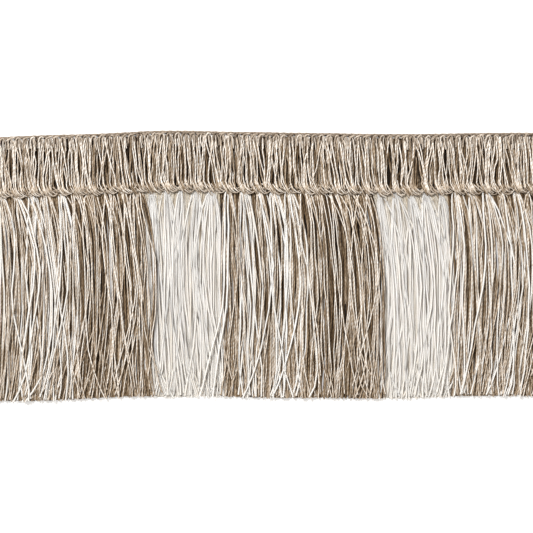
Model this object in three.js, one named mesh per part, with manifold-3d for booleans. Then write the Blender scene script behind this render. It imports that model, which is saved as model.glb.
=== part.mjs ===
// A cut length of brush fringe: a crocheted heading with a chain along each edge, and a cut fringe
// in bands of white, mixed and natural yarn. It lies flat, face up. Millimetres, +X along the trim,
// +Y from the cut tips to the heading's top edge, +Z up. The origin is under the middle of its box.
import * as THREE from "three";
import { mergeVertices } from "three/addons/utils/BufferGeometryUtils.js";
import Module from "manifold-3d";

// The heading's yarn is laid in groups, and two groups share one stitch of the lower chain.
const groupPitch = 1.86;
const groupsPerBand = 10;
const bandYarns = ["white", "mixed", "natural", "white", "mixed", "natural", "white", "mixed", "natural"];
const clearance = 0.3;

// The heading's depth is from its top edge to the bottom of the lower chain. The rows are the points
// of its face, as a share of the way down between the chains.
const heading = {
  depth: 15.4,
  valleyHeight: 1.8,
  crestRise: 0.8,
  slant: 0.5,
  gather: 0.3,
  rows: [
    { down: 0.0, relief: 0.25 },
    { down: 0.3, relief: 1.0 },
    { down: 0.75, relief: 1.0 },
    { down: 1.0, relief: 0.25 },
  ],
};

// A chain's section goes round it from the back of its upper edge, in shares of its width, of its
// stitches' inset and height, and of their slant. The stages make up one stitch.
const topChain = {
  pitch: groupPitch,
  width: 2.3,
  slant: 0.5,
  section: [
    { across: 0.1, inset: 0, rise: 0, lean: 0 },
    { across: 0, inset: 1, rise: 0.5, lean: 0.5 },
    { across: 0.4, inset: 0, rise: 1, lean: 1 },
    { across: 0.9, inset: 0, rise: 0.7, lean: -0.5 },
    { across: 1, inset: 0, rise: 0, lean: -0.5 },
  ],
  stages: [
    { height: 2.2, inset: 0.3 },
    { height: 3.0, inset: 0 },
  ],
};
const lowerChain = {
  pitch: groupPitch * 2,
  width: 2.5,
  slant: 0.6,
  section: [
    { across: 0, inset: 0, rise: 0, lean: 0 },
    { across: 0.05, inset: 0, rise: 0.75, lean: -0.5 },
    { across: 0.45, inset: 0, rise: 1, lean: 0 },
    { across: 1, inset: -1, rise: 0.5, lean: 0.5 },
    { across: 0.95, inset: -1, rise: 0, lean: 0 },
  ],
  stages: [
    { height: 2.9, inset: 0 },
    { height: 2.7, inset: 0.1 },
    { height: 2.0, inset: 0.6 },
    { height: 2.7, inset: 0.15 },
  ],
};

// Each group of the fringe has two under strands side by side, and one lock over them. The roots of
// the locks gather in pairs, where the lower chain has its notches. The strip binds all the roots.
const rootStrip = { width: 1.2, height: 2.3, steps: 5 };
const underStrand = { perGroup: 2, width: 0.66, height: 0.95, wander: 0.05 };
const overLock = {
  base: 1.25,
  rootWidth: 0.75,
  tipWidth: 1.2,
  rootRise: 1.05,
  tipRise: 0.85,
  ridgeShare: 0.6,
  gather: 0.4,
  wander: 0.2,
};
const strandSteps = 3;
const tipUnevenness = 0.4;

const yarnLooks = {
  white: { color: 0xd8d3c9, roughness: 0.55 },
  mixed: { color: 0xb6ab9c, roughness: 0.7 },
  natural: { color: 0x9f917f, roughness: 0.8 },
};

// How the trim lies: the heading's top edge, the line of the cut tips, and how far along the trim a
// strand's tip has drifted from its root.
const topEdge = [
  { x: -83.7, y: 31.5 },
  { x: -63.0, y: 31.6 },
  { x: -53.0, y: 32.0 },
  { x: -38.5, y: 32.4 },
  { x: -24.0, y: 33.1 },
  { x: -8.0, y: 32.9 },
  { x: 10.5, y: 32.6 },
  { x: 35.0, y: 32.3 },
  { x: 60.0, y: 32.6 },
  { x: 83.7, y: 32.4 },
];
const cutLine = [
  { x: -83.7, y: -32.6 },
  { x: -58.0, y: -33.1 },
  { x: -41.0, y: -32.6 },
  { x: -31.0, y: -32.1 },
  { x: -24.0, y: -32.3 },
  { x: -14.0, y: -31.9 },
  { x: 10.5, y: -32.1 },
  { x: 30.0, y: -32.4 },
  { x: 45.0, y: -32.0 },
  { x: 54.5, y: -31.6 },
  { x: 83.7, y: -31.9 },
];
const tipDrift = [
  { x: -83.7, y: 0.9 },
  { x: -63.0, y: 1.2 },
  { x: -46.5, y: 1.0 },
  { x: -28.0, y: 2.1 },
  { x: -9.4, y: 0.8 },
  { x: 9.4, y: 1.6 },
  { x: 28.0, y: 2.6 },
  { x: 47.0, y: 1.4 },
  { x: 65.0, y: 0.9 },
  { x: 83.7, y: -0.2 },
];

const groupCount = bandYarns.length * groupsPerBand;
const bandLength = groupsPerBand * groupPitch;
const trimLength = groupCount * groupPitch;

// How far below the heading's top edge its pieces start and end.
const panelTop = topChain.width + clearance;
const lowerChainTop = heading.depth - lowerChain.width;
const panelBottom = lowerChainTop - clearance;
const stripTop = heading.depth + clearance;
const stripBottom = stripTop + rootStrip.width;

// A smooth curve through the points of a table, read at any place along the trim.
function smooth(points) {
  const places = points.map((row) => row.x);
  const curve = new THREE.CubicInterpolant(places, points.map((row) => row.y), 1, [0]);
  return (x) => curve.evaluate(THREE.MathUtils.clamp(x, places[0], places.at(-1)))[0];
}

const topEdgeAt = smooth(topEdge);
const cutLineAt = smooth(cutLine);
const tipDriftAt = smooth(tipDrift);

function below(x, distance, z) {
  return new THREE.Vector3(x, topEdgeAt(x) - distance, z);
}

// A closed solid through a row of convex rings, each with the same number of points.
function loft(rings) {
  const count = rings[0].length;
  const last = (rings.length - 1) * count;
  const index = [];
  for (let ring = 0; ring < last; ring += count) {
    for (let k = 0; k < count; k++) {
      const here = ring + k;
      const next = ring + ((k + 1) % count);
      index.push(here, next, next + count);
      index.push(here, next + count, here + count);
    }
  }
  for (let k = 1; k + 1 < count; k++) {
    index.push(0, k + 1, k);
    index.push(last, last + k, last + k + 1);
  }
  return new THREE.BufferGeometry().setFromPoints(rings.flat()).setIndex(index);
}

// The heading between its chains: one raised rib for each group of yarn. The ribs slant a little,
// and each pair of them gathers towards its stitch of the lower chain.
function headingGeometry() {
  const columns = groupCount * 2;
  const rings = [];
  for (let column = 0; column <= columns; column++) {
    const x = (column / columns - 0.5) * trimLength;
    const isEnd = column === 0 || column === columns;
    const crest = column % 2 === 1 ? heading.crestRise : 0;
    const stepsPastStitch = (column % 4) - 2;
    const gather = Math.abs(stepsPastStitch) === 1 ? -stepsPastStitch * heading.gather : 0;
    const face = heading.rows.map(({ down, relief }) => {
      const shift = isEnd ? 0 : gather * down + heading.slant * (down - 0.5);
      const distance = THREE.MathUtils.lerp(panelTop, panelBottom, down);
      return below(x + shift, distance, heading.valleyHeight + crest * relief);
    });
    rings.push([below(x, panelTop, 0), ...face, below(x, panelBottom, 0)]);
  }
  return loft(rings);
}

// A chain that runs along the heading, with its upper edge a given distance below the top edge.
function chainGeometry(chain, upperEdge) {
  const stageCount = chain.stages.length;
  const columns = Math.round(trimLength / chain.pitch) * stageCount;
  const rings = [];
  for (let column = 0; column <= columns; column++) {
    const x = (column / columns - 0.5) * trimLength;
    const stage = chain.stages[column % stageCount];
    const slant = column === 0 || column === columns ? 0 : chain.slant;
    const ring = chain.section.map(({ across, inset, rise, lean }) => {
      const distance = upperEdge + across * chain.width + inset * stage.inset;
      return below(x + lean * slant, distance, rise * stage.height);
    });
    rings.push(ring);
  }
  return loft(rings);
}

// One strand of the fringe, for the place x along the trim. It starts inside the strip, shifted by
// its gather, and drifts along the trim as it goes down, fastest near its root.
function strandGeometry(placeX, gather, wander, sectionAt) {
  const drift = tipDriftAt(placeX) + wander * (THREE.MathUtils.seededRandom() - 0.5);
  const startY = topEdgeAt(placeX) - (stripTop + stripBottom) / 2;
  const endY = cutLineAt(placeX + drift) + tipUnevenness * THREE.MathUtils.seededRandom();
  const rings = [];
  for (let step = 0; step <= strandSteps; step++) {
    const down = step / strandSteps;
    const x = THREE.MathUtils.lerp(placeX + drift, placeX + gather, (1 - down) ** 2);
    const y = THREE.MathUtils.lerp(startY, endY, down);
    rings.push(sectionAt(down).map(([across, z]) => new THREE.Vector3(x + across, y, z)));
  }
  return loft(rings);
}

// An under strand lies on its flat side.
function underSection() {
  const half = underStrand.width / 2;
  return [
    [-half, 0],
    [half, 0],
    [0, underStrand.height],
  ];
}

// A lock of yarn lies over the under strands and spreads towards its tip.
function overSection(down) {
  const half = THREE.MathUtils.lerp(overLock.rootWidth, overLock.tipWidth, down) / 2;
  const ridge = half * overLock.ridgeShare;
  const top = overLock.base + THREE.MathUtils.lerp(overLock.rootRise, overLock.tipRise, down);
  return [
    [-half, overLock.base],
    [half, overLock.base],
    [ridge, top],
    [-ridge, top],
  ];
}

function stripGeometry(startX) {
  const rings = [];
  for (let step = 0; step <= rootStrip.steps; step++) {
    const x = startX + clearance / 2 + (step / rootStrip.steps) * (bandLength - clearance);
    rings.push([
      below(x, stripTop, 0),
      below(x, stripTop, rootStrip.height),
      below(x, stripBottom, rootStrip.height),
      below(x, stripBottom, 0),
    ]);
  }
  return loft(rings);
}

const manifold = await Module();
manifold.setup();

function toSolid(geometry) {
  const merged = mergeVertices(geometry);
  const vertProperties = merged.attributes.position.array;
  const triVerts = new Uint32Array(merged.index.array);
  return new manifold.Manifold(new manifold.Mesh({ numProp: 3, vertProperties, triVerts }));
}

function toGeometry(solid) {
  const mesh = solid.getMesh();
  return new THREE.BufferGeometry()
    .setAttribute("position", new THREE.BufferAttribute(mesh.vertProperties, 3))
    .setIndex(new THREE.BufferAttribute(mesh.triVerts, 1));
}

// One band of the fringe: its strands stand apart, and are joined only where the strip binds them.
function bandGeometry(startX) {
  let band = toSolid(stripGeometry(startX));
  for (let group = 0; group < groupsPerBand; group++) {
    const groupX = startX + group * groupPitch;
    for (let strand = 0; strand < underStrand.perGroup; strand++) {
      const x = groupX + ((strand + 0.5) / underStrand.perGroup) * groupPitch;
      band = band.add(toSolid(strandGeometry(x, 0, underStrand.wander, underSection)));
    }
    const gather = group % 2 === 0 ? overLock.gather : -overLock.gather;
    const lock = strandGeometry(groupX + groupPitch / 2, gather, overLock.wander, overSection);
    band = band.add(toSolid(lock));
  }
  return toGeometry(band);
}

function piece(name, geometry, yarn) {
  const mesh = new THREE.Mesh(geometry, new THREE.MeshStandardMaterial(yarnLooks[yarn]));
  mesh.name = name;
  return mesh;
}

const trim = new THREE.Group();
trim.add(piece("heading", headingGeometry(), "natural"));
trim.add(piece("top_chain", chainGeometry(topChain, 0), "natural"));
trim.add(piece("lower_chain", chainGeometry(lowerChain, lowerChainTop), "natural"));
bandYarns.forEach((yarn, band) => {
  const startX = band * bandLength - trimLength / 2;
  trim.add(piece(`fringe_${band + 1}_${yarn}`, bandGeometry(startX), yarn));
});

export default trim;
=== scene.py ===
import bpy
import bmesh
import bisect
import math
import random
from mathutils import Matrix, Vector


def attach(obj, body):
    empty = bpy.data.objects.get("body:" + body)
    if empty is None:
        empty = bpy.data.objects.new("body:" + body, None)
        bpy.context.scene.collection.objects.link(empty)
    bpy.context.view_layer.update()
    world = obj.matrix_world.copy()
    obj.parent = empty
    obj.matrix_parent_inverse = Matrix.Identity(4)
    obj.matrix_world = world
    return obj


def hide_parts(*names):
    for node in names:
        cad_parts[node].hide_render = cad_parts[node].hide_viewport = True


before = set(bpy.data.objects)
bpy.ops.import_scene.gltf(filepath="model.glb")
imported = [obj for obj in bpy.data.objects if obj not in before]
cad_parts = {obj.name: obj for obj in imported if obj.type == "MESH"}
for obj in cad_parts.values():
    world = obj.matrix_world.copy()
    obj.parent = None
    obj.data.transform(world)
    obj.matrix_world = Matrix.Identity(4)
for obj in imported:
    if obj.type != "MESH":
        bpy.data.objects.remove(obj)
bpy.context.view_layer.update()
print("frame loaded:", len(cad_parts), "nodes")

mm = 0.001

# the trim lies along x; each table gives (place along it, value), all in millimetres
trim = {
    "groupPitch": 1.86,  # one group of heading yarn
    "groupsPerBand": 10,
    "bands": ["white", "mixed", "natural"] * 3,
    "topEdge": [(-83.7, 31.5), (-63, 31.6), (-53, 32.0), (-38.5, 32.4), (-24, 33.1),
                (-8, 32.9), (10.5, 32.6), (35, 32.3), (60, 32.6), (83.7, 32.4)],
    "cutLine": [(-83.7, -32.6), (-58, -33.1), (-41, -32.4), (-31, -31.95), (-24, -32.1), (-14, -31.9),
                (2, -32.3), (10.5, -32.3), (30, -32.45), (45, -32.0), (54.5, -31.8), (83.7, -32.1)],
    # how far the yarns stand to the right of their roots, at the tips and where they belly out most
    "tipDrift": [(-83.7, 0.9), (-63, 1.2), (-46.5, 1.0), (-28, 2.1), (-9.4, 0.8),
                 (9.4, 1.6), (28, 2.6), (47, 1.4), (65, 0.9), (83.7, -0.2)],
    "belly": [(-83.7, 2.0), (-63, 2.6), (-46, 2.6), (-36, 2.4), (-26, 0.9), (-12, -0.2), (-8, 0.8), (0, 2.0),
              (9, 2.2), (19, 3.2), (28, 3.0), (38, 2.9), (47, 2.9), (56, 2.6), (65, 2.0), (83.7, 1.2)],
}


def smoothCurve(rows):
    # a smooth line through the rows of a table
    xs, ys = [r[0] for r in rows], [r[1] for r in rows]
    last = len(xs) - 1
    slopes = [(ys[min(i + 1, last)] - ys[max(i - 1, 0)]) / (xs[min(i + 1, last)] - xs[max(i - 1, 0)])
              for i in range(last + 1)]

    def at(x):
        x = min(max(x, xs[0]), xs[-1])
        i = min(bisect.bisect_right(xs, x) - 1, last - 1)
        span = xs[i + 1] - xs[i]
        t = (x - xs[i]) / span
        rise, a, b = ys[i + 1] - ys[i], slopes[i] * span, slopes[i + 1] * span
        return ys[i] + a * t + (3 * rise - 2 * a - b) * t ** 2 + (a + b - 2 * rise) * t ** 3

    return at


topEdgeAt = smoothCurve(trim["topEdge"])
cutLineAt = smoothCurve(trim["cutLine"])
tipDriftAt = smoothCurve(trim["tipDrift"])
bellyAt = smoothCurve(trim["belly"])
pitch = trim["groupPitch"]
stitch = 2 * pitch
groupCount = trim["groupsPerBand"] * len(trim["bands"])
halfLength = groupCount * pitch / 2
bandLength = trim["groupsPerBand"] * pitch


def mix(a, b, t):
    return a + (b - a) * t


def past(t, start):
    # the share of the way from a start to the end
    return max(0, (t - start) / (1 - start))


def below(x, down, z):
    # a point so far down from the top edge, in millimetres
    return (x, topEdgeAt(x) - down, z)


def addNode(tree, kind, settings=None, links=None):
    # the settings are the node's own properties or its sockets' values
    node = tree.nodes.new(kind)
    for key, value in (settings or {}).items():
        if isinstance(key, int) or not hasattr(node, key):
            node.inputs[key].default_value = value
        else:
            setattr(node, key, value)
    for key, source in (links or {}).items():
        tree.links.new(source, node.inputs[key])
    return node


def linear(hexColour):
    # sRGB hex to the linear colour that nodes take
    parts = [int(hexColour[i:i + 2], 16) / 255 for i in (1, 3, 5)]
    return [c / 12.92 if c <= 0.04045 else ((c + 0.055) / 1.055) ** 2.4 for c in parts] + [1]


# spinning: lines of points become yarns, with slubs, closed ends and coordinates for the shader's twist

spinning = {
    "slubSize": 5.0,  # mm
    "slub": 0.16,  # share of the thickness
    "slubRange": (0.3, 0.7),  # the part of the noise that makes the whole swell
    "seedStep": 0.618,  # spreads the seeds of a piece's yarns evenly between 0 and 1
    "seedReach": 60.0,  # how far apart two yarns' slubs start in the noise
    "clearance": 1.25,  # a yarn's middle stays this many radii above the floor
}


def spunYarnNodes():
    tree = bpy.data.node_groups.new("spunYarn", "GeometryNodeTree")
    for name, kind in (("Geometry", "NodeSocketGeometry"), ("Sides", "NodeSocketInt"),
                       ("Steps", "NodeSocketInt"), ("Flat", "NodeSocketVector")):
        tree.interface.new_socket(name, in_out="INPUT", socket_type=kind)
    tree.interface.new_socket("Geometry", in_out="OUTPUT", socket_type="NodeSocketGeometry")
    given = addNode(tree, "NodeGroupInput")
    lines = addNode(tree, "GeometryNodeMeshToCurve", {}, {"Mesh": given.outputs["Geometry"]})
    smooth = addNode(tree, "GeometryNodeCurveSplineType", {"spline_type": "CATMULL_ROM"},
                     {"Curve": lines.outputs[0]})
    fine = addNode(tree, "GeometryNodeSetSplineResolution", {},
                   {"Geometry": smooth.outputs[0], "Resolution": given.outputs["Steps"]})
    steps = addNode(tree, "GeometryNodeResampleCurve", {"mode": "EVALUATED"}, {"Curve": fine.outputs[0]})
    length = addNode(tree, "GeometryNodeSplineParameter")
    along = addNode(tree, "GeometryNodeStoreNamedAttribute", {"data_type": "FLOAT", "Name": "along"},
                    {"Geometry": steps.outputs[0], "Value": length.outputs["Length"]})
    # slubs: the yarn swells and thins along its length
    place = addNode(tree, "GeometryNodeInputPosition")
    seed = addNode(tree, "GeometryNodeInputNamedAttribute", {"data_type": "FLOAT", "Name": "seed"})
    spread = addNode(tree, "ShaderNodeMath", {"operation": "MULTIPLY", 1: spinning["seedReach"]},
                     {0: seed.outputs["Attribute"]})
    slubs = addNode(tree, "ShaderNodeTexNoise",
                    {"noise_dimensions": "4D", "Scale": 1 / (spinning["slubSize"] * mm), "Detail": 1.0},
                    {"Vector": place.outputs[0], "W": spread.outputs[0]})
    swell = addNode(tree, "ShaderNodeMapRange",
                    {"From Min": spinning["slubRange"][0], "From Max": spinning["slubRange"][1],
                     "To Min": 1 - spinning["slub"], "To Max": 1 + spinning["slub"]},
                    {"Value": slubs.outputs[0]})
    thick = addNode(tree, "GeometryNodeInputNamedAttribute", {"data_type": "FLOAT", "Name": "thick"})
    radius = addNode(tree, "ShaderNodeMath", {"operation": "MULTIPLY"},
                     {0: thick.outputs["Attribute"], 1: swell.outputs[0]})
    circle = addNode(tree, "GeometryNodeCurvePrimitiveCircle", {"Radius": 1.0},
                     {"Resolution": given.outputs["Sides"]})
    ring = addNode(tree, "GeometryNodeStoreNamedAttribute",
                   {"data_type": "FLOAT_VECTOR", "Name": "ring"},
                   {"Geometry": circle.outputs[0], "Value": place.outputs[0]})
    section = addNode(tree, "GeometryNodeTransform", {},
                      {"Geometry": ring.outputs[0], "Scale": given.outputs["Flat"]})
    tube = addNode(tree, "GeometryNodeCurveToMesh", {"Fill Caps": True},
                   {"Curve": along.outputs[0], "Profile Curve": section.outputs[0],
                    "Scale": radius.outputs[0]})
    soft = addNode(tree, "GeometryNodeSetShadeSmooth", {}, {"Geometry": tube.outputs[0]})
    addNode(tree, "NodeGroupOutput", {}, {"Geometry": soft.outputs[0]})
    return tree


spunYarn = spunYarnNodes()


def yarnLines(name, yarns):
    # each yarn is {"points": [(x, y, z)...], "thick": radius, "kind": material index,
    #               "tone": from 0 to 1, one number or one for each point}
    points, edges = [], []
    values = {"thick": [], "tone": [], "kind": [], "seed": []}
    for number, yarn in enumerate(yarns):
        first, count = len(points), len(yarn["points"])
        points += [Vector(point) * mm for point in yarn["points"]]
        edges += [(i, i + 1) for i in range(first, len(points) - 1)]
        values["thick"] += [yarn["thick"] * mm] * count
        values["tone"] += yarn["tone"] if isinstance(yarn["tone"], list) else [yarn["tone"]] * count
        values["kind"] += [yarn["kind"]] * count
        values["seed"] += [number * spinning["seedStep"] % 1] * count
    mesh = bpy.data.meshes.new(name)
    mesh.from_pydata(points, edges, [])
    for key, numbers in values.items():
        kind = "INT" if key == "kind" else "FLOAT"
        mesh.attributes.new(key, kind, "POINT").data.foreach_set("value", numbers)
    lines = bpy.data.objects.new(name + "Lines", mesh)
    bpy.context.collection.objects.link(lines)
    return lines


def spin(name, yarns, materials, sides, steps=2, flat=1):
    # the yarns become one piece of closed tubes
    lines = yarnLines(name, yarns)
    modifier = lines.modifiers.new("spun", "NODES")
    modifier.node_group = spunYarn
    inputs = {"Sides": sides, "Steps": steps, "Flat": (1, flat, 1)}
    for item in spunYarn.interface.items_tree:
        if item.in_out == "INPUT" and item.name in inputs:
            modifier[item.identifier] = inputs[item.name]
    evaluated = lines.evaluated_get(bpy.context.evaluated_depsgraph_get())
    piece = bpy.data.objects.new(name, bpy.data.meshes.new_from_object(evaluated))
    piece.data.name = name
    for material in materials:
        piece.data.materials.append(material)
    kinds = piece.data.attributes["kind"].data
    for face in piece.data.polygons:
        face.material_index = kinds[face.vertices[0]].value
    bpy.context.collection.objects.link(piece)
    bpy.data.objects.remove(lines)
    triangles = sum(len(face.vertices) - 2 for face in piece.data.polygons)
    print(name + ":", len(yarns), "yarns,", triangles, "triangles")
    return piece


# materials: all three yarns share one shader, which reads the yarn's own round-and-along space

shading = {
    "patternReach": 97.0,  # how far apart two yarns' patterns start
    "grooveWidth": 0.7,  # from the groove between the plies, 0, towards their crowns, 1
    "flankSpan": (0.1, -0.6),  # ring y where the flank's shade is full and where it ends, the crown is at -1
    "deepMottle": 0.3,  # the share of the mottle that a yarn of tone 0 keeps
    "fibreRelief": 0.4,  # the fibres' share of the relief, the plies have the rest
    "reliefDepth": 0.08,  # mm
    "fibreDetail": 3.0,
    "slubDetail": 2.0,
}


def plyLobes(tree, along, ring, offset, twist):
    # two plies twisted together: 1 on a ply's crown, 0 in the groove between them
    turn = addNode(tree, "ShaderNodeMath", {"operation": "MULTIPLY_ADD", 1: 2 * math.pi / (twist * mm)},
                   {0: along.outputs["Fac"], 2: offset.outputs[0]})
    cosine = addNode(tree, "ShaderNodeMath", {"operation": "COSINE"}, {0: turn.outputs[0]})
    sine = addNode(tree, "ShaderNodeMath", {"operation": "SINE"}, {0: turn.outputs[0]})
    ply = addNode(tree, "ShaderNodeCombineXYZ", {}, {"X": cosine.outputs[0], "Y": sine.outputs[0]})
    facing = addNode(tree, "ShaderNodeVectorMath", {"operation": "DOT_PRODUCT"},
                     {0: ring.outputs["Vector"], 1: ply.outputs[0]})
    return addNode(tree, "ShaderNodeMath", {"operation": "ABSOLUTE"}, {0: facing.outputs["Value"]})


def stretchedNoise(tree, space, offset, stretch, detail):
    # fibres run along the yarn and slubs break them up, each by its own stretch
    stretched = addNode(tree, "ShaderNodeVectorMath", {"operation": "MULTIPLY", 1: stretch},
                        {0: space.outputs[0]})
    return addNode(tree, "ShaderNodeTexNoise", {"noise_dimensions": "4D", "Scale": 1.0, "Detail": detail},
                   {"Vector": stretched.outputs[0], "W": offset.outputs[0]})


def mottledColour(tree, look, tone, slubs, fibres):
    # the yarn's tone, which holds its own colour and also painted shade on the deep yarns and a painted
    # highlight on the top ones, pushed about by the slubs and the fibres; the deep yarns show less of them
    both = addNode(tree, "ShaderNodeMix", {"data_type": "FLOAT", "Factor": look["streaks"]},
                   {"A": slubs.outputs[0], "B": fibres.outputs[0]})
    swing = addNode(tree, "ShaderNodeMath", {"operation": "SUBTRACT", 1: 0.5}, {0: both.outputs[0]})
    deep = look["mottle"] * shading["deepMottle"]
    reach = addNode(tree, "ShaderNodeMath", {"operation": "MULTIPLY_ADD", 1: look["mottle"], 2: deep},
                    {0: tone.outputs["Fac"]})
    level = addNode(tree, "ShaderNodeMath", {"operation": "MULTIPLY_ADD"},
                    {0: swing.outputs[0], 1: reach.outputs[0], 2: tone.outputs["Fac"]})
    ramp = addNode(tree, "ShaderNodeValToRGB", {}, {"Fac": level.outputs[0]})
    for stop in look["colours"][1:-1]:
        ramp.color_ramp.elements.new(stop[0])
    for element, (place, colour) in zip(ramp.color_ramp.elements, look["colours"]):
        element.position, element.color = place, linear(colour)
    return ramp


def paintedShade(tree, look, side, lobes):
    # painted shade: darker in the groove between the plies, and on the flanks, where the neighbours shade
    # them and throw back a warmer light
    groove = addNode(tree, "ShaderNodeMapRange",
                     {"From Min": 0.0, "From Max": shading["grooveWidth"], "To Min": look["groove"],
                      "To Max": 1.0}, {"Value": lobes.outputs[0]})
    flank = addNode(tree, "ShaderNodeMapRange",
                    {"From Min": shading["flankSpan"][0], "From Max": shading["flankSpan"][1],
                     "To Min": look["flank"], "To Max": 1.0}, {"Value": side.outputs["Y"]})
    shade = addNode(tree, "ShaderNodeMath", {"operation": "MULTIPLY"},
                    {0: groove.outputs[0], 1: flank.outputs[0]})
    # sockets 6 and 7 are the two colours
    return addNode(tree, "ShaderNodeMix",
                   {"data_type": "RGBA", 6: linear(look["shade"]), 7: linear("#ffffff")},
                   {"Factor": shade.outputs[0]})


def yarnMaterial(name, look):
    material = bpy.data.materials.new(name)
    material.use_nodes = True
    tree = material.node_tree
    shader = tree.nodes["Principled BSDF"]
    along, ring, tone, seed = [addNode(tree, "ShaderNodeAttribute", {"attribute_name": attribute})
                               for attribute in ("along", "ring", "tone", "seed")]
    side = addNode(tree, "ShaderNodeSeparateXYZ", {}, {"Vector": ring.outputs["Vector"]})
    offset = addNode(tree, "ShaderNodeMath", {"operation": "MULTIPLY", 1: shading["patternReach"]},
                     {0: seed.outputs["Fac"]})
    space = addNode(tree, "ShaderNodeCombineXYZ", {},
                    {"X": side.outputs["X"], "Y": side.outputs["Y"], "Z": along.outputs["Fac"]})
    lobes = plyLobes(tree, along, ring, offset, look["twist"])
    fibres = stretchedNoise(tree, space, offset, look["fibre"], shading["fibreDetail"])
    slubs = stretchedNoise(tree, space, offset, look["slub"], shading["slubDetail"])
    colour = mottledColour(tree, look, tone, slubs, fibres)
    shadeTint = paintedShade(tree, look, side, lobes)
    shaded = addNode(tree, "ShaderNodeVectorMath", {"operation": "MULTIPLY"},
                     {0: colour.outputs[0], 1: shadeTint.outputs[2]})
    tree.links.new(shaded.outputs[0], shader.inputs["Base Color"])
    relief = addNode(tree, "ShaderNodeMix", {"data_type": "FLOAT", "Factor": shading["fibreRelief"]},
                     {"A": lobes.outputs[0], "B": fibres.outputs[0]})
    bump = addNode(tree, "ShaderNodeBump",
                   {"Strength": look["relief"], "Distance": shading["reliefDepth"] * mm},
                   {"Height": relief.outputs[0]})
    tree.links.new(bump.outputs[0], shader.inputs["Normal"])
    for socket, value in look["surface"].items():
        shader.inputs[socket].default_value = value
    return material


# undyed linen: dry matt fibre, its ramp running from bark brown to pale straw; the deep yarns take the dark
# end as painted shade and the top ones the pale end as a painted highlight
linenYarn = yarnMaterial("undyedLinenYarn", {
    "colours": [(0.0, "#241708"), (0.3, "#735e43"), (0.6, "#b7a68f"), (0.8, "#ece3d6"), (1.0, "#fffdf8")],
    "twist": 2.1, "groove": 0.1, "relief": 0.5, "flank": 0.0, "shade": "#a8917a",
    "fibre": (2.5, 2.5, 1300), "slub": (0.7, 0.7, 450), "mottle": 2.3, "streaks": 0.55,
    "surface": {"Roughness": 0.8, "Specular IOR Level": 0.15, "Sheen Weight": 0.05, "Sheen Roughness": 0.5},
})
# the same linen crocheted hard into the chains: duller, closer in tone, a touch pinker
chainYarn = yarnMaterial("crochetedLinenYarn", {
    "colours": [(0.0, "#5a4b3d"), (0.5, "#b6a898"), (0.75, "#d0c5b8"), (1.0, "#f1eae0")],
    "twist": 1.6, "groove": 0.4, "relief": 0.5, "flank": 0.0, "shade": "#a09080",
    "fibre": (2.5, 2.5, 900), "slub": (0.7, 0.7, 1400), "mottle": 1.0, "streaks": 0.4,
    "surface": {"Roughness": 0.85, "Specular IOR Level": 0.1, "Sheen Weight": 0.05, "Sheen Roughness": 0.5},
})
# bleached viscose: smoother and brighter, a silky light along each yarn
bleachedYarn = yarnMaterial("bleachedViscoseYarn", {
    "colours": [(0.0, "#cbb99f"), (0.25, "#dbd1c2"), (0.5, "#e2ddd6"), (0.75, "#eae7e3"), (1.0, "#fbfbfa")],
    "twist": 3.5, "groove": 0.7, "relief": 0.15, "flank": 0.6, "shade": "#f4ede4",
    "fibre": (2.5, 2.5, 500), "slub": (0.7, 0.7, 500), "mottle": 0.7, "streaks": 0.5,
    "surface": {"Roughness": 0.5, "Specular IOR Level": 0.4, "Sheen Weight": 0.08, "Sheen Roughness": 0.4,
                "Subsurface Weight": 0.55, "Subsurface Radius": (1, 0.95, 0.9),
                "Subsurface Scale": 0.45 * mm},
})
print("materials ready")


# the fringe: cut yarns in layers, from those that lie on the floor up to the loose ones on top

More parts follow.
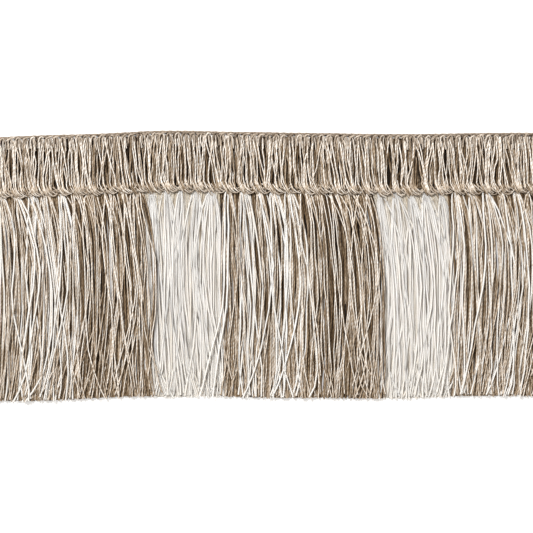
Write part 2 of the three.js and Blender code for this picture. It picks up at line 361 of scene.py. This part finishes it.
fringe = {
    "rootBelow": 13.8,  # the yarns start inside the lower chain
    "rootRise": 1.5,
    "rootInset": 0.2,  # between the roots of one band and the next
    "farthest": halfLength + 1.0,  # the ends of the trim are cut square
    # the points of a yarn, as shares of the way from its root to its tip
    "stations": (0, 0.04, 0.1, 0.18, 0.27, 0.37, 0.47, 0.57, 0.67, 0.77, 0.87, 0.95, 1),
    "fan": 11,  # how fast a bundle opens below the chain
    "bellyPlace": 0.756,  # puts the belly 0.4 of the way down
    "bellyPull": 0.4,  # what of the tip's drift the belly takes back
    "heave": {"white": 0.03, "mixed": 0.14, "natural": 0.18},  # the yarns climb over and dive under others
    "bulge": 0.15,  # and in their middle they rise or sink by about this much
    # from the floor up: rise at rest, yarns a stitch, where and how much they gather, how freely they bend,
    # tones of the linen and of the bleached yarn (darker low down as painted shade, lightest on top as a
    # painted highlight), radius, share of bleached yarn in the mixed bands, how unevenly they stand and end,
    # and how much their tips curl
    "layers": [
        {"rise": 0.32, "perStitch": 10, "to": "lump", "gather": 0.1, "sway": 0.1, "bend": 0.05, "kink": 0.03,
         "own": 0.35, "tone": 0.25, "white": 0.3, "thick": 0.31, "whites": 0, "jitter": 0.1, "short": 0.35,
         "hook": 0.05},
        {"rise": 0.75, "perStitch": 7, "to": "lump", "gather": 0.3, "sway": 0.3, "bend": 0.2, "kink": 0.05,
         "own": 0.5, "tone": 0.36, "white": 0.42, "thick": 0.22, "whites": 0, "jitter": 0.3, "short": 0.5,
         "hook": 0.3},
        {"rise": 1.15, "perStitch": 6, "to": "lump", "gather": 0.4, "sway": 0.4, "bend": 0.35, "kink": 0.08,
         "own": 0.8, "tone": 0.52, "white": 0.55, "thick": 0.165, "whites": 0.1, "jitter": 0.45, "short": 0.7,
         "hook": 0.55},
        {"rise": 1.5, "perStitch": 5, "to": "notch", "gather": 0.9, "sway": 0.5, "bend": 0.45, "kink": 0.1,
         "own": 1, "tone": 0.72, "white": 0.6, "thick": 0.15, "whites": 0.35, "jitter": 0.6, "short": 0.8,
         "hook": 0.85},
        {"rise": 1.85, "perStitch": 4, "to": "notch", "gather": 1.0, "sway": 0.6, "bend": 0.6, "kink": 0.11,
         "own": 1, "tone": 1.0, "white": 0.66, "thick": 0.15, "whites": 0.55, "jitter": 0.8, "short": 1.0,
         "hook": 1.1},
    ],
    "upperFrom": 1.0,  # the layers that rise higher have thick bleached yarns and early ends
    "topFrom": 1.8,  # and the one that rises higher than this has the strays
    "gathering": {"white": 1.0, "mixed": 0.75, "natural": 0.3},
    "crowd": {"white": 1.45, "mixed": 1.25, "natural": 1.2},  # yarns against the numbers above
    "rootShade": {"white": 0.45, "mixed": 0.25, "natural": 0.15},  # behind the bundles, just under the chain
    "lift": {"white": 0, "mixed": 0.08, "natural": -0.02},  # the mixed bands are paler all through
    "most": {"white": 1, "mixed": 0.8, "natural": 1},  # but their linen has no highlights
    "spread": {"white": 0.08, "mixed": 0.17, "natural": 0.27},  # of one yarn's tone from the next one's
    "whiteThick": {"white": 1.8, "mixed": 1.4},  # the bleached yarn is thicker, and lies flatter
    "whiteRise": 0.45,  # the white bands lie lower
    "flat": {"white": 0.45, "mixed": 0.8, "natural": 1},
    "spacedWhites": 0.75,  # share of every other top yarn of a mixed band that is bleached
    "thickSpread": 0.15,
    "own": (0.6, 1.3),  # how far one yarn's tip and belly differ from the next one's
    "restless": {"white": 0.8, "mixed": 1, "natural": 1.35},  # against those numbers
    "tips": (0.1, 0.5),  # how far above the cut line the yarns end: mean and spread
    "longest": 0.3,  # at most this far past it
    # share of the linen that ends early, and by how much at most
    "early": {"white": (0, 0), "mixed": (0.3, 5), "natural": (0.3, 6)},
    "settleFrom": 0.6,  # from here on the free ends settle on the floor
    "tipRise": 0.75,  # to this share of their height
    "tipTone": {"white": 0.35, "mixed": 0.6, "natural": 0.6},  # what the free ends run to
    "tipLift": 0.4,  # and how much of the way
    "hookFrom": 0.75,  # from here on the tips curl
    # share of the top yarns that stray across the others near their tips, and how far
    "loose": {"white": (0.35, 3.5), "mixed": (0.5, 6.5), "natural": (0.5, 4.0)},
    "strayFrom": 0.4,  # from here on they part from the others
    "strayRise": 0.18,  # and climb this far over them
}


def wander(rng, size):
    # a slow sideways wave, as a function of the share of the way down
    a, b = rng.uniform(0, 6.28), rng.uniform(0, 6.28)
    f, g = rng.uniform(0.5, 0.9), rng.uniform(1.2, 2.0)
    big, small = size * rng.uniform(0.5, 1.2), size * rng.uniform(0.1, 0.35)
    start = big * math.sin(a) + small * math.sin(b)
    return lambda t: big * math.sin(6.28 * f * t + a) + small * math.sin(6.28 * g * t + b) - start


def isWhite(kindOfBand, layer, share, number, rng):
    if kindOfBand != "mixed":
        return kindOfBand == "white"
    if layer["whites"] > 0.5:
        chance = (1 - number % 2) * fringe["spacedWhites"]
    else:
        nearness = 1 - 2 * abs(share) if layer["to"] == "notch" else 0.5
        chance = layer["whites"] * (0.5 + nearness)
    return rng.random() < chance


def fringeYarn(kindOfBand, layer, start, notch, share, number, rng):
    # what one yarn is like: where it hangs, how it bends, how thick and how light it is
    place = notch + share * stitch
    centre = notch if layer["to"] == "notch" else notch + math.copysign(stitch / 2, share)
    root = mix(place, centre, layer["gather"] * fringe["gathering"][kindOfBand])
    root = min(max(root, start + fringe["rootInset"]), start + bandLength - fringe["rootInset"])
    own = layer["own"] * fringe["restless"][kindOfBand]
    tipShift = tipDriftAt(place) + rng.gauss(0, fringe["own"][0]) * own
    belly = bellyAt(place) + rng.gauss(0, fringe["own"][1]) * own - fringe["bellyPull"] * tipShift
    wave = wander(rng, layer["bend"])
    white = isWhite(kindOfBand, layer, share, number, rng)
    colour = "white" if white else kindOfBand
    upper = layer["rise"] > fringe["upperFrom"]

    looseShare, farthest = fringe["loose"][kindOfBand]
    strays = layer["rise"] > fringe["topFrom"] and rng.random() < looseShare and colour != "mixed"
    stray = rng.choice((-1, 1)) * rng.uniform(0.3, 1) * farthest if strays else 0
    tipY = cutLineAt(place) + max(-fringe["longest"], rng.gauss(*fringe["tips"])) * layer["short"]
    earlyShare, earliest = fringe["early"][kindOfBand]
    if upper and rng.random() < earlyShare and not white:
        tipY += rng.random() * earliest
    hook = rng.gauss(0, 1) * layer["hook"]
    bulge = rng.gauss(0, fringe["bulge"])

    tone = layer["white"] if white else layer["tone"]
    tone += fringe["lift"][kindOfBand] + rng.gauss(0, fringe["spread"][colour])
    tone = min(fringe["most"][colour], max(0, tone))
    thick = layer["thick"] * rng.uniform(1 - fringe["thickSpread"], 1 + fringe["thickSpread"])
    if white and upper:
        thick *= fringe["whiteThick"][kindOfBand]
    return {"place": place, "root": root, "rootY": topEdgeAt(root) - fringe["rootBelow"], "tipY": tipY,
            "tipShift": tipShift, "belly": belly, "wave": wave, "stray": stray, "hook": hook,
            "bulge": bulge, "tone": tone, "thick": thick, "kind": int(white)}


def hangFringeYarn(yarn, kindOfBand, layer, bundleWave, rng):
    # its points and its tone at each of them, from the root to the tip
    lying = layer["rise"] * (fringe["whiteRise"] if kindOfBand == "white" else 1)
    lowest = spinning["clearance"] * yarn["thick"] * fringe["flat"][kindOfBand]
    points, tones = [], []
    for t in fringe["stations"]:
        x = mix(yarn["root"], yarn["place"], 1 - math.exp(-fringe["fan"] * t)) + yarn["tipShift"] * t
        x += yarn["belly"] * math.sin(math.pi * t ** fringe["bellyPlace"])
        x += (bundleWave(t) + yarn["wave"](t)) * min(1, 3 * t)
        x += yarn["stray"] * past(t, fringe["strayFrom"]) ** 1.5
        x += rng.gauss(0, layer["kink"]) if 0 < t else 0
        curl = past(t, fringe["hookFrom"])
        x += yarn["hook"] * curl * (1.6 * curl - 0.6)
        x = min(max(x, -fringe["farthest"]), fringe["farthest"])
        settled = past(t, fringe["settleFrom"])
        z = mix(fringe["rootRise"], lying * mix(1, fringe["tipRise"], settled), min(1, 6 * t))
        z += yarn["bulge"] * math.sin(math.pi * t)
        z += rng.gauss(0, fringe["heave"][kindOfBand]) * min(1, 4 * t, 4 - 4 * t)
        z += fringe["strayRise"] * past(t, fringe["strayFrom"]) if yarn["stray"] else 0
        points.append((x, mix(yarn["rootY"], yarn["tipY"], t), max(z, lowest)))
        tone = mix(yarn["tone"], fringe["tipTone"][kindOfBand], fringe["tipLift"] * settled)
        if layer["to"] == "lump":
            tone -= fringe["rootShade"][kindOfBand] * max(0, 1 - 4 * t)
        tones.append(max(0, tone))
    return {"points": points, "thick": yarn["thick"], "tone": tones, "kind": yarn["kind"]}


def fringeYarns(band, rng):
    start = band * bandLength - halfLength
    kindOfBand = trim["bands"][band]
    yarns = []
    for layer in fringe["layers"]:
        count = round(layer["perStitch"] * fringe["crowd"][kindOfBand])
        for stitchNumber in range(trim["groupsPerBand"] // 2):
            notch = start + (stitchNumber + 0.5) * stitch
            bundleWave = wander(rng, layer["sway"])
            for number in range(count):
                share = (number + 0.5 + rng.uniform(-1, 1) * layer["jitter"]) / count - 0.5
                yarn = fringeYarn(kindOfBand, layer, start, notch, share, number, rng)
                yarns.append(hangFringeYarn(yarn, kindOfBand, layer, bundleWave, rng))
    return yarns


for band, kindOfBand in enumerate(trim["bands"]):
    node = f"fringe_{band + 1}_{kindOfBand}"
    yarns = fringeYarns(band, random.Random(100 + band))
    piece = spin(f"cutFringe{band + 1}", yarns, [linenYarn, bleachedYarn], sides=4, steps=1,
                 flat=fringe["flat"][kindOfBand])
    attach(piece, "root")
    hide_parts(node)


# the heading: groups of yarn between the chains, the front ones over the back ones

heading = {
    "downs": (1.0, 2.8, 4.6, 6.5, 8.4, 10.3, 12.2, 13.3, 14.2, 14.85),  # both ends are hidden in the chains
    "straight": 6,  # the number of the point where the sweep starts
    "heave": 0.17,  # how much each point of a yarn is off its line, up and sideways
    "kink": 0.06,
    "jitter": 0.45,  # and how unevenly the yarns stand, arch and take their tone
    "archSpread": 0.12,
    "toneSpread": 0.27,
    "thickness": (0.85, 1.2),  # the thinnest and the thickest yarn of a layer against its own number
    "endWidth": 0.9,  # the yarns at the cut ends are seen from the side, so none of them keeps the back layers' painted shade
    "endTone": 0.55,
    "groupLean": (0.75, 0.75),  # mean and spread, to the right on the way down
    # the lower ends of the front yarns are drawn down to the right, close together, over the chain and in
    "sweep": 1.3,
    "closing": 0.4,
    "over": 2.45,
    "sink": 0.2,
    "sweptTone": 0.62,
    "backEnd": 14,  # the back yarns stop here
    # from the back to the front: rise, yarns a group, how wide they stand, how far they follow the group's
    # lean, their own lean, how far they are pulled to the notch, how high they arch, tone, which is painted
    # shade at the back and a painted highlight at the front, radius
    "layers": [
        {"rise": 0.4, "perGroup": 4, "wide": 1.8, "follow": 0, "lean": 0.3, "pull": 0.0, "swept": False,
         "crown": 0.0, "tone": 0.08, "thick": 0.27, "sway": 0.05},
        {"rise": 1.0, "perGroup": 6, "wide": 1.86, "follow": 0.2, "lean": 0.45, "pull": 0.0, "swept": False,
         "crown": 0.2, "tone": 0.33, "thick": 0.15, "sway": 0.2},
        {"rise": 1.35, "perGroup": 4, "wide": 1.7, "follow": 0.8, "lean": 0.6, "pull": 0.1, "swept": True,
         "crown": 0.35, "tone": 0.56, "thick": 0.15, "sway": 0.25},
        {"rise": 1.65, "perGroup": 3, "wide": 1.8, "follow": 1, "lean": 0.8, "pull": 0.2, "swept": True,
         "crown": 0.45, "tone": 1.0, "thick": 0.165, "sway": 0.3},
    ],
}


def headingYarn(layer, group, number, groupLean, rng):
    centre = (group + 0.5) * pitch - halfLength
    notch = centre + (pitch / 2 if group % 2 == 0 else -pitch / 2)
    share = (number + 0.5 + rng.uniform(-heading["jitter"], heading["jitter"])) / layer["perGroup"] - 0.5
    lean = groupLean * layer["follow"] + rng.gauss(0, layer["lean"])
    upper = centre + share * layer["wide"] - lean / 2
    lower = mix(centre + share * layer["wide"], notch, layer["pull"]) + lean / 2
    wave = wander(rng, layer["sway"])
    arch = max(0, layer["crown"] + rng.gauss(0, heading["archSpread"]))
    tone = min(1, max(0, layer["tone"] + rng.gauss(0, heading["toneSpread"])))
    if abs(upper) > halfLength - heading["endWidth"]:
        tone = max(tone, heading["endTone"])
    top, bottom = heading["downs"][0], heading["downs"][-1]
    turn = heading["downs"][heading["straight"]]
    points, tones = [], []
    for down in heading["downs"]:
        t = min(1, (down - top) / (turn - top))
        x = mix(upper, lower, t) + wave(t)
        z = layer["rise"] + arch * math.sin(math.pi * t)
        if layer["follow"]:
            x += rng.gauss(0, heading["kink"])
            z += rng.gauss(0, heading["heave"]) * math.sin(math.pi * t)
        u = max(0, down - turn) / (bottom - turn)
        if layer["swept"]:
            side = (x - notch) * heading["closing"] * u
            x += heading["sweep"] * u ** 1.3 - side
            down -= side
            z += (heading["over"] - layer["rise"]) * math.sin(math.pi * u ** 1.3) - heading["sink"] * u
        elif down > heading["backEnd"]:
            continue
        points.append(below(min(max(x, -halfLength), halfLength), down, z))
        tones.append(mix(tone, heading["sweptTone"], 0.8 * min(1, 1.5 * u)))
    return {"points": points, "thick": layer["thick"] * rng.uniform(*heading["thickness"]), "tone": tones,
            "kind": 0}


def headingYarns(rng):
    groupLeans = [rng.gauss(*heading["groupLean"]) for group in range(groupCount)]
    return [headingYarn(layer, group, number, groupLeans[group], rng)
            for layer in heading["layers"] for group in range(groupCount)
            for number in range(layer["perGroup"])]


headingPiece = spin("headingYarns", headingYarns(random.Random(7)), [linenYarn], sides=4, steps=1)
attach(headingPiece, "root")

# the chains: each stitch is a few loops of yarn, as (along, down, up) from the stitch's place

hand = {"rise": 0.06, "bend": 0.07, "tone": 0.18}  # how unevenly the maker's hand works

topChain = {
    "loops": [
        # the small arch over each group, its filling, the slanting stitch of the edge and its back
        {"thick": 0.22, "tone": 0.5, "path": [(-0.65, 3.2, 1.5), (-0.6, 1.5, 1.9), (-0.35, 0.75, 2.1),
                                              (0.05, 0.5, 2.0), (0.4, 0.75, 1.7)]},
        {"thick": 0.26, "tone": 0.25, "path": [(-0.1, 0.7, 1.7), (-0.05, 1.5, 1.85), (0.1, 2.6, 1.5)]},
        {"thick": 0.18, "tone": 0.4, "path": [(0.0, 0.6, 1.9), (0.4, 1.2, 2.0), (0.6, 2.0, 1.9),
                                              (0.7, 3.2, 1.5)]},
        {"thick": 0.14, "tone": 0.75, "path": [(0.1, 1.0, 2.0), (0.25, 2.2, 2.15), (0.5, 3.9, 1.9)]},
        {"thick": 0.25, "tone": 0.3, "path": [(-1.0, 1.1, 1.2), (-0.5, 0.75, 1.4), (0.1, 0.5, 1.5),
                                               (0.8, 0.45, 1.2)]},
        {"thick": 0.36, "tone": 0.35, "path": [(-1.2, 0.5, 0.9), (-0.5, 0.55, 0.7), (0.0, 1.0, 0.5),
                                               (0.5, 1.8, 0.4), (0.6, 2.8, 0.5)]},
    ],
    "edge": {"thick": 0.33, "down": 0.17, "rise": 0.9, "wave": 0.04, "tone": 0.25},
    "untidy": 0.1,
}
lowerChain = {
    "loops": [
        # thin yarns wrap the ends of the heading's, slanting down to the right, and run on behind them
        {"thick": 0.15, "tone": 0.62, "path": [(-2.0, 13.0, 1.6), (-1.5, 13.8, 2.0), (-0.8, 14.5, 2.1),
                                              (-0.1, 14.9, 1.8)]},
        {"thick": 0.14, "tone": 0.8, "path": [(-1.6, 12.9, 1.7), (-1.0, 13.6, 2.1), (-0.4, 14.3, 2.2),
                                              (0.4, 14.8, 1.8)]},
        {"thick": 0.14, "tone": 0.5, "path": [(-0.7, 14.7, 1.7), (0.1, 14.85, 2.0), (0.8, 14.6, 2.0),
                                              (1.5, 13.9, 1.7)]},
        {"thick": 0.15, "tone": 0.72, "path": [(-0.9, 12.9, 1.7), (-0.1, 13.7, 2.1), (0.6, 14.3, 2.2),
                                              (1.3, 14.6, 1.8)]},
        {"thick": 0.14, "tone": 0.55, "path": [(0.2, 13.0, 1.7), (0.8, 13.6, 2.1), (1.4, 14.1, 2.1),
                                               (2.0, 14.3, 1.7)]},
        {"thick": 0.14, "tone": 0.8, "path": [(0.9, 14.6, 1.6), (1.6, 14.2, 2.0), (2.2, 13.4, 1.9),
                                              (2.5, 12.8, 1.5)]},
        {"thick": 0.34, "tone": 0.35, "path": [(-1.9, 13.3, 1.2), (-0.9, 13.8, 1.4), (0.0, 14.0, 1.5),
                                               (0.9, 13.9, 1.4), (1.9, 13.3, 1.2)]},
        {"thick": 0.3, "tone": 0.3, "path": [(-1.9, 14.1, 1.0), (0.0, 14.4, 1.2), (1.9, 14.1, 1.0)]},
    ],
    "untidy": 0.2,
}


def chainYarns(chain, spacing, count, offset, rng):
    yarns = []
    for number in range(count):
        centre = (number + offset) * spacing - halfLength
        for loop in chain["loops"]:
            lowest = spinning["clearance"] * loop["thick"]
            nudge = [rng.gauss(0, chain["untidy"]), rng.gauss(0, chain["untidy"]), rng.gauss(0, hand["rise"])]
            path = []
            for along, down, rise in loop["path"]:
                x = centre + along + nudge[0] + rng.gauss(0, hand["bend"])
                x = min(max(x, -halfLength), halfLength)
                path.append(below(x, down + nudge[1], max(rise + nudge[2], lowest)))
            tone = min(1, max(0, loop["tone"] + rng.gauss(0, hand["tone"])))
            yarns.append({"points": path, "thick": loop["thick"], "tone": tone, "kind": 0})
    return yarns


def edgeCord(edge):
    # the cord that the top chain is worked over, with a small wave at each group
    path = []
    for step in range(groupCount * 2 + 1):
        wave = edge["wave"] * (1 if step % 2 else -1)
        path.append(below(step * pitch / 2 - halfLength, edge["down"] - wave, edge["rise"] + wave))
    return {"points": path, "thick": edge["thick"], "tone": edge["tone"], "kind": 0}


topYarns = chainYarns(topChain, pitch, groupCount, 0.5, random.Random(3))
topYarns.append(edgeCord(topChain["edge"]))
topPiece = spin("topChainLoops", topYarns, [chainYarn], sides=5)
lowerYarns = chainYarns(lowerChain, stitch, groupCount // 2 + 1, 0, random.Random(5))
lowerPiece = spin("lowerChainLoops", lowerYarns, [chainYarn], sides=5)
for piece, node in ((topPiece, "top_chain"), (lowerPiece, "lower_chain")):
    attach(piece, "root")
    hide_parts(node)

# a near-black sheet in the middle of the heading: painted shade, seen between its yarns

shadeSheet = {
    "top": 1.0,
    "bottom": 14.6,
    "length": 2 * halfLength - 1.6,  # the yarns cover it at the cut ends
    "rise": 0.6,
    "thick": 0.15,
    "steps": (90, 4),
    "colour": "#1c1108",
    "roughness": 0.9,
}
# painted shade: a near-black sheet stands for the shadow deep between the yarns, where hardly any light comes
# back
paintedGapShade = bpy.data.materials.new("paintedGapShade")
paintedGapShade.use_nodes = True
gapShadeShader = paintedGapShade.node_tree.nodes["Principled BSDF"]
gapShadeShader.inputs["Base Color"].default_value = linear(shadeSheet["colour"])
gapShadeShader.inputs["Roughness"].default_value = shadeSheet["roughness"]


def shadeSheetPiece():
    bm = bmesh.new()
    bmesh.ops.create_grid(bm, x_segments=shadeSheet["steps"][0], y_segments=shadeSheet["steps"][1], size=0.5)
    for v in bm.verts:
        x = v.co.x * shadeSheet["length"]
        down = mix(shadeSheet["bottom"], shadeSheet["top"], v.co.y + 0.5)
        v.co = Vector(below(x, down, shadeSheet["rise"])) * mm
    bmesh.ops.solidify(bm, geom=bm.faces[:], thickness=shadeSheet["thick"] * mm)
    bmesh.ops.recalc_face_normals(bm, faces=bm.faces[:])
    mesh = bpy.data.meshes.new("headingShadeSheet")
    bm.to_mesh(mesh)
    bm.free()
    piece = bpy.data.objects.new("headingShadeSheet", mesh)
    bpy.context.collection.objects.link(piece)
    mesh.materials.append(paintedGapShade)
    return piece


paintedShadeSheet = shadeSheetPiece()
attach(paintedShadeSheet, "root")
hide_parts("heading")
print("heading ready")

# the studio

studio = {
    "pixel": 0.245,  # mm a pixel, at the height of the yarns
    "yarnHeight": 2.0,
    "middle": (266.5, 266.5),  # of the photo, in pixels
    "zero": (257.35, 265.9),  # where the part's zero lies in the photo
    "width": 533,
    "lens": 150,
    "keyLight": {"place": (-0.45, 0.8, 1.05), "size": 0.45, "power": 30},
    "fillLight": {"place": (0.5, -1.1, 0.8), "size": 1.0, "power": 4},
    "sky": ("#fff6ea", 0.27),
    "floorSize": 3,
    # a lit table: the paper glows a little, which keeps the shadow on it pale
    "paper": {"Base Color": linear("#dcdbd9"), "Roughness": 0.8, "Emission Color": linear("#ffffff"),
              "Emission Strength": 0.48},
}
scene = bpy.context.scene
scene.view_settings.view_transform = "Standard"

bpy.ops.mesh.primitive_plane_add(size=studio["floorSize"])
floor = bpy.context.object
floor.name = "floor"
paper = bpy.data.materials.new("whitePaper")
paper.use_nodes = True
for socket, value in studio["paper"].items():
    paper.node_tree.nodes["Principled BSDF"].inputs[socket].default_value = value
floor.data.materials.append(paper)

camera = bpy.data.objects.new("camera", bpy.data.cameras.new("camera"))
scene.collection.objects.link(camera)
camera.data.lens = studio["lens"]
# it looks straight down, from where the picture's width is the photo's
aimX = (studio["middle"][0] - studio["zero"][0]) * studio["pixel"] * mm
aimY = (studio["zero"][1] - studio["middle"][1]) * studio["pixel"] * mm
reach = studio["width"] * studio["pixel"] * mm * studio["lens"] / camera.data.sensor_width
camera.location = (aimX, aimY, reach + studio["yarnHeight"] * mm)
scene.camera = camera


def softLight(name, look):
    lamp = bpy.data.lights.new(name, "AREA")
    lamp.shape, lamp.size, lamp.energy = "SQUARE", look["size"], look["power"]
    light = bpy.data.objects.new(name, lamp)
    light.location = look["place"]
    light.rotation_euler = Vector(look["place"]).to_track_quat("Z", "Y").to_euler()
    scene.collection.objects.link(light)


for name in ("keyLight", "fillLight"):
    softLight(name, studio[name])
scene.world = bpy.data.worlds.new("studio")
scene.world.use_nodes = True
sky = scene.world.node_tree.nodes["Background"]
sky.inputs["Color"].default_value = linear(studio["sky"][0])
sky.inputs["Strength"].default_value = studio["sky"][1]
print("studio ready")
